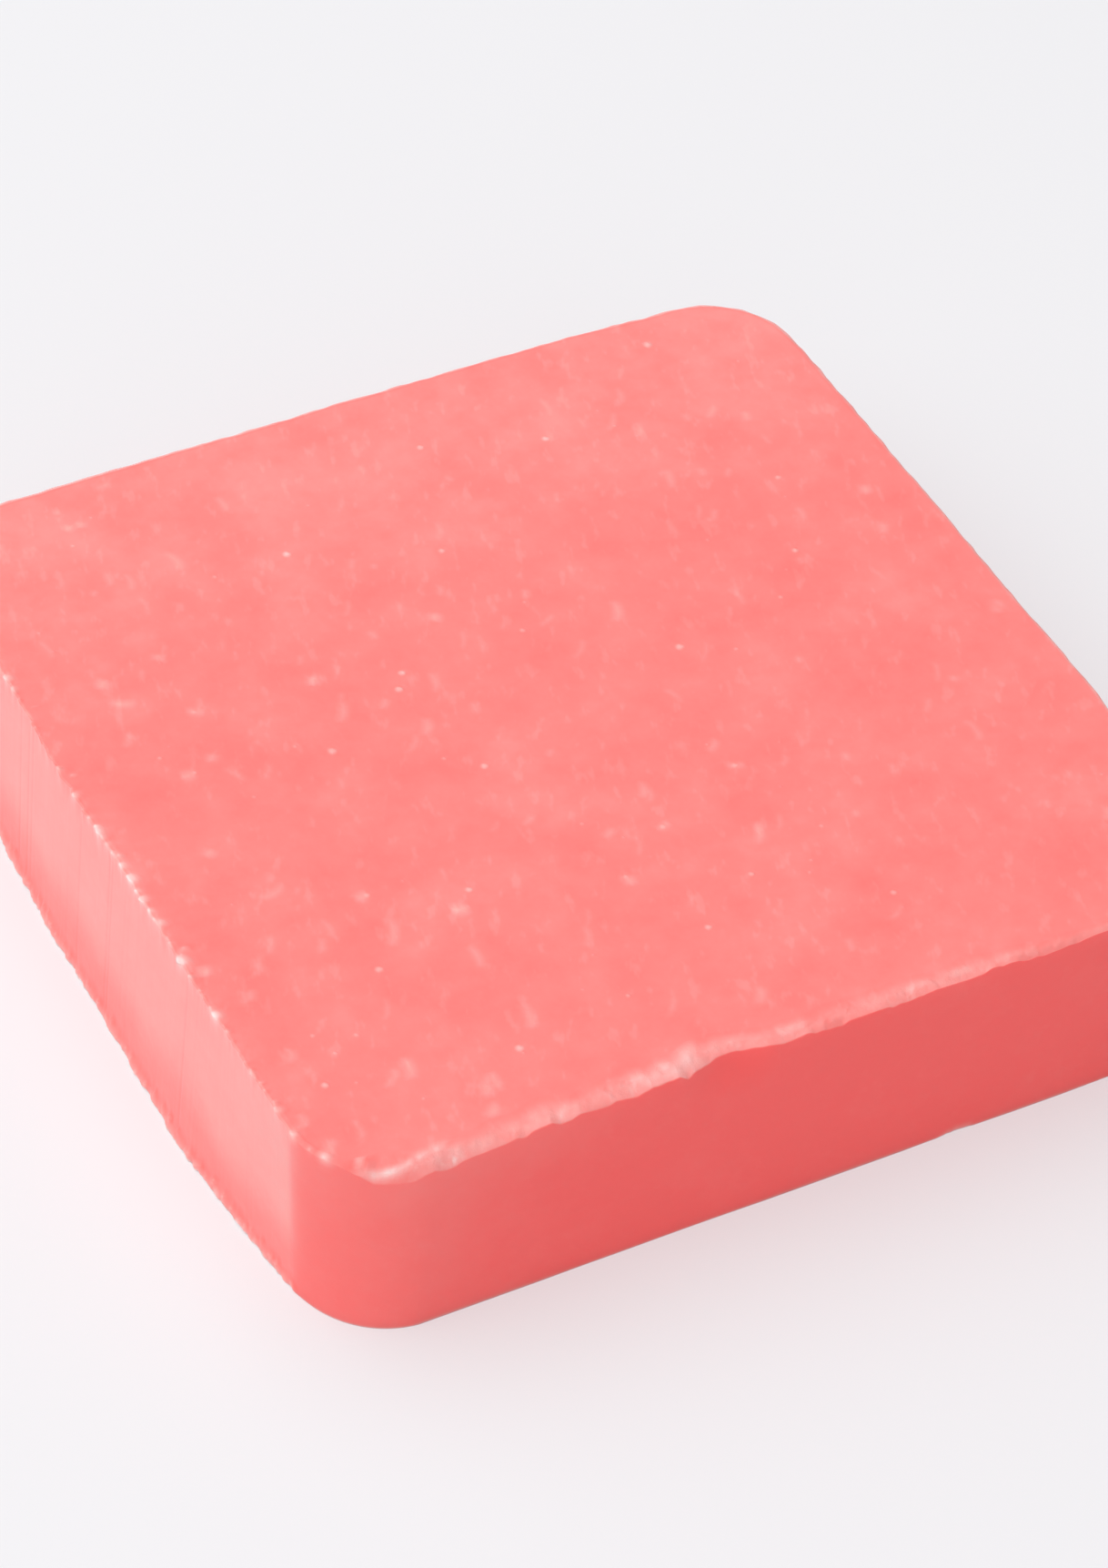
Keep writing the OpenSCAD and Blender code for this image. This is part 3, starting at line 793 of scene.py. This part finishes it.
# Finish
soapFinish = {
    # tone, colour
    "tones": [
        # tone 0 is the moulded walls' colour, deepened as painted shade
        (0.0, (0.985, 0.128, 0.122)), (0.35, (0.985, 0.238, 0.222)), (0.58, (0.985, 0.335, 0.315)),
        (0.76, (0.985, 0.43, 0.41)), (1.0, (0.99, 0.68, 0.66))],
    # soft mottling, with how strong each is on the open face and on the walls
    "patchSize": 9.0, "cloudSize": 3.0, "openClouds": 0.285, "wallClouds": 0.114,
    "fleckTurn": 20.0, "fleckSize": 1.0, "fleckStretch": 0.45, "fleckFrom": (0.56, 0.72),
    "openFlecks": 0.1, "wallFlecks": 0.02,
    "roughness": 0.42, "cutRoughness": 0.34, "crumbRoughness": 0.7, "shine": 0.3, "ior": 1.46,
    "glow": 0.7, "glowRadius": (1.0, 0.75, 0.7), "glowScale": 1.0,
    # finest relief: noise scales per metre, how drawn out the knife's lines are, shares of the height
    "satin": 700.0, "grit": 3000.0, "lines": 1600.0, "lineStretch": 0.02, "lineShare": 0.4, "gritShare": 2.0,
    "bump": 0.05, "bumpStrength": 0.6,
}


def newGroup(name, inputs, outputs):
    group = bpy.data.node_groups.new(name, "ShaderNodeTree")
    for label, kind in inputs:
        group.interface.new_socket(name=label, in_out="INPUT", socket_type=kind)
    for label, kind in outputs:
        group.interface.new_socket(name=label, in_out="OUTPUT", socket_type=kind)
    return group, group.nodes.new("NodeGroupInput"), group.nodes.new("NodeGroupOutput")


def addNode(tree, kind, settings=None, inputs=()):
    # inputs: pairs of a socket's name or number and its value, or the socket that feeds it
    node = tree.nodes.new(kind)
    for name, value in (settings or {}).items():
        setattr(node, name, value)
    for key, value in inputs:
        if isinstance(value, bpy.types.NodeSocket):
            tree.links.new(value, node.inputs[key])
        else:
            node.inputs[key].default_value = value
    return node


def addMath(tree, operation, *values):
    return addNode(tree, "ShaderNodeMath", {"operation": operation}, list(enumerate(values))).outputs[0]


def addBetween(tree, share, low, high):
    # low where the share is 0, high where it is 1
    return addMath(tree, "MULTIPLY_ADD", share, high - low, low)


def addNoise(tree, where, scale, detail, roughness=0.55):
    return addNode(tree, "ShaderNodeTexNoise", None, [
        ("Vector", where), ("Scale", scale), ("Detail", detail), ("Roughness", roughness)]).outputs[0]


def addStretch(tree, where, stretch):
    return addNode(tree, "ShaderNodeVectorMath", {"operation": "MULTIPLY"}, [
        (0, where), (1, stretch)]).outputs[0]


def cloudGroup():
    # tone of the soft mottling: wide patches, smaller clouds and short pale flecks on the open face
    look = soapFinish
    tree, given, made = newGroup("soapClouds", [
        ("Vector", "NodeSocketVector"), ("Open Face", "NodeSocketFloat")], [("Tone", "NodeSocketFloat")])
    where, openFace = given.outputs["Vector"], given.outputs["Open Face"]
    patch = addNoise(tree, where, 1.0 / (look["patchSize"] * millimetre), 2.0)
    cloud = addNoise(tree, where, 1.0 / (look["cloudSize"] * millimetre), 3.0, 0.6)
    soft = addMath(tree, "SUBTRACT", addMath(tree, "ADD", patch, cloud), 1.0)
    turned = addNode(tree, "ShaderNodeVectorRotate", {"rotation_type": "Z_AXIS"}, [
        ("Vector", where), ("Angle", math.radians(look["fleckTurn"]))]).outputs[0]
    stretched = addStretch(tree, turned, (1.0, look["fleckStretch"], 1.0))
    fleck = addNoise(tree, stretched, 1.0 / (look["fleckSize"] * millimetre), 2.0)
    pale = addNode(tree, "ShaderNodeMapRange", {"interpolation_type": "SMOOTHSTEP"}, [
        ("Value", fleck), ("From Min", look["fleckFrom"][0]), ("From Max", look["fleckFrom"][1])]).outputs[0]
    fleckStrength = addBetween(tree, openFace, look["wallFlecks"], look["openFlecks"])
    flecks = addMath(tree, "MULTIPLY", pale, fleckStrength)
    strength = addBetween(tree, openFace, look["wallClouds"], look["openClouds"])
    tree.links.new(addMath(tree, "MULTIPLY_ADD", soft, strength, flecks), made.inputs["Tone"])
    return tree


def reliefGroup():
    # height of the finest relief: satin everywhere, upright drag lines where the knife went, grit on crumbs
    look = soapFinish
    tree, given, made = newGroup("soapRelief", [
        ("Vector", "NodeSocketVector"), ("Knife Cut", "NodeSocketFloat"), ("Crumbly", "NodeSocketFloat")],
        [("Height", "NodeSocketFloat")])
    where = given.outputs["Vector"]
    satin = addNoise(tree, where, look["satin"], 3.0)
    grit = addNoise(tree, where, look["grit"], 3.0, 0.65)
    lines = addNoise(tree, addStretch(tree, where, (1.0, 1.0, look["lineStretch"])), look["lines"], 3.0, 0.6)
    cut = addMath(tree, "MULTIPLY", lines, given.outputs["Knife Cut"])
    rough = addMath(tree, "MULTIPLY", grit, given.outputs["Crumbly"])
    height = addMath(tree, "MULTIPLY_ADD", cut, look["lineShare"], satin)
    height = addMath(tree, "MULTIPLY_ADD", rough, look["gritShare"], height)
    tree.links.new(height, made.inputs["Height"])
    return tree


def coralSoap():
    look = soapFinish
    material = bpy.data.materials.new("coralSoap")
    material.use_nodes = True
    tree = material.node_tree
    shader = tree.nodes["Principled BSDF"]
    where = addNode(tree, "ShaderNodeTexCoord").outputs["Object"]
    toneHere, crumbly, knifeCut, openFace = (
        addNode(tree, "ShaderNodeAttribute", {"attribute_name": name}).outputs["Fac"]
        for name in ("tone", "crumbly", "knifeCut", "openFace"))
    clouds = addNode(tree, "ShaderNodeGroup", {"node_tree": cloudGroup()}, [
        ("Vector", where), ("Open Face", openFace)])
    relief = addNode(tree, "ShaderNodeGroup", {"node_tree": reliefGroup()}, [
        ("Vector", where), ("Knife Cut", knifeCut), ("Crumbly", crumbly)])
    ramp = addNode(tree, "ShaderNodeValToRGB", None, [
        ("Fac", addMath(tree, "ADD", toneHere, clouds.outputs["Tone"]))])
    stops = ramp.color_ramp.elements
    for stop, (place, colour) in zip((stops[0], stops[1]), (look["tones"][0], look["tones"][-1])):
        stop.position = place
        stop.color = (*colour, 1)
    for place, colour in look["tones"][1:-1]:
        stops.new(place).color = (*colour, 1)
    tree.links.new(ramp.outputs["Color"], shader.inputs["Base Color"])
    smooth = addBetween(tree, knifeCut, look["roughness"], look["cutRoughness"])
    rough = addMath(tree, "MULTIPLY_ADD", crumbly, look["crumbRoughness"] - look["roughness"], smooth)
    tree.links.new(rough, shader.inputs["Roughness"])
    bump = addNode(tree, "ShaderNodeBump", None, [
        ("Strength", look["bumpStrength"]), ("Distance", look["bump"] * millimetre),
        ("Height", relief.outputs["Height"])])
    tree.links.new(bump.outputs["Normal"], shader.inputs["Normal"])
    shader.inputs["IOR"].default_value = look["ior"]
    shader.inputs["Specular IOR Level"].default_value = look["shine"]
    shader.inputs["Subsurface Weight"].default_value = look["glow"]
    shader.inputs["Subsurface Radius"].default_value = look["glowRadius"]
    shader.inputs["Subsurface Scale"].default_value = look["glowScale"] * millimetre
    return material


mesh.materials.append(coralSoap())
print("finish made")

# Floor
floorLook = {
    "size": 6.0,  # metres
    "colour": (0.85, 0.85, 0.87), "roughness": 0.9, "gloss": 0.1,
    "shine": (0.86, 0.85, 0.87), "shineShare": 0.5,  # of its own light in what the camera sees
}


def seenDirectly(tree):
    # 1 where the camera looks, also by way of a reflection or through glass
    path = addNode(tree, "ShaderNodeLightPath").outputs
    mirrored = addMath(tree, "MAXIMUM", path["Is Glossy Ray"], path["Is Transmission Ray"])
    return addMath(tree, "MAXIMUM", path["Is Camera Ray"], mirrored)


def paleFloor():
    look = floorLook
    half = look["size"] / 2
    corners = [(-half, -half, 0), (half, -half, 0), (half, half, 0), (-half, half, 0)]
    plane = bpy.data.meshes.new("floor")
    plane.from_pydata(corners, [], [(0, 1, 2, 3)])
    floor = bpy.data.objects.new("floor", plane)
    bpy.context.scene.collection.objects.link(floor)
    material = bpy.data.materials.new("paleFloor")
    material.use_nodes = True
    tree = material.node_tree
    shader = tree.nodes["Principled BSDF"]
    shader.inputs["Base Color"].default_value = (*look["colour"], 1)
    shader.inputs["Roughness"].default_value = look["roughness"]
    shader.inputs["Specular IOR Level"].default_value = look["gloss"]
    share = addMath(tree, "MULTIPLY", seenDirectly(tree), look["shineShare"])
    shine = addNode(tree, "ShaderNodeEmission", None, [("Color", (*look["shine"], 1)), ("Strength", 1.0)])
    mix = addNode(tree, "ShaderNodeMixShader", None, [
        (0, share), (1, shader.outputs[0]), (2, shine.outputs[0])])
    tree.links.new(mix.outputs[0], tree.nodes["Material Output"].inputs["Surface"])
    plane.materials.append(material)


# Light
studio = {
    "sky": 0.32, "skyColour": (1.0, 0.99, 1.0), "backdrop": (0.93, 0.925, 0.94),
    # name, where from the bar in metres, width and height, watts
    "lamps": [("overhead", (-0.35, 0.25, 0.75), 1.5, 1.5, 11.6), ("fill", (-0.3, -0.9, 0.4), 1.0, 1.0, 3.3)],
}


def lightStudio():
    world = bpy.data.worlds.new("studio")
    bpy.context.scene.world = world
    world.use_nodes = True
    tree = world.node_tree
    tree.nodes.clear()
    glow = addNode(tree, "ShaderNodeBackground", None, [
        ("Color", (*studio["skyColour"], 1)), ("Strength", studio["sky"])])
    backdrop = addNode(tree, "ShaderNodeBackground", None, [
        ("Color", (*studio["backdrop"], 1)), ("Strength", 1.0)])
    mix = addNode(tree, "ShaderNodeMixShader", None, [
        (0, seenDirectly(tree)), (1, glow.outputs[0]), (2, backdrop.outputs[0])])
    addNode(tree, "ShaderNodeOutputWorld", None, [("Surface", mix.outputs[0])])
    for name, place, width, height, watts in studio["lamps"]:
        data = bpy.data.lights.new(name, "AREA")
        data.shape = "RECTANGLE"
        data.size, data.size_y, data.energy = width, height, watts
        lamp = bpy.data.objects.new(name, data)
        lamp.location = place
        lamp.rotation_euler = (-Vector(place)).to_track_quat("-Z", "Y").to_euler()
        bpy.context.scene.collection.objects.link(lamp)


# Camera, fitted to the photograph
cameraPlace = {
    "lens": 133.7, "sensor": 36.0,  # along the picture's long side
    "azimuth": -31.39, "elevation": 43.64, "roll": 4.96,
    "aim": (4.9, 7.2, 0.0), "distance": 452.4,
    "clip": (0.01, 20.0),  # metres
}


def setCamera():
    look = cameraPlace
    azimuth, elevation, roll = (math.radians(look[key]) for key in ("azimuth", "elevation", "roll"))
    back = Vector((math.sin(azimuth) * math.cos(elevation), -math.cos(azimuth) * math.cos(elevation),
                   math.sin(elevation)))
    level = Vector((math.cos(azimuth), math.sin(azimuth), 0))
    upright = back.cross(level)
    right = level * math.cos(roll) + upright * math.sin(roll)
    up = upright * math.cos(roll) - level * math.sin(roll)
    data = bpy.data.cameras.new("camera")
    data.lens, data.sensor_width = look["lens"], look["sensor"]
    data.clip_start, data.clip_end = look["clip"]
    camera = bpy.data.objects.new("camera", data)
    place = (Vector(look["aim"]) + back * look["distance"]) * millimetre
    camera.matrix_world = Matrix.Translation(place) @ Matrix((right, up, back)).transposed().to_4x4()
    bpy.context.scene.collection.objects.link(camera)
    bpy.context.scene.camera = camera


paleFloor()
lightStudio()
setCamera()
bpy.context.scene.view_settings.view_transform = "Standard"
print("stage set")
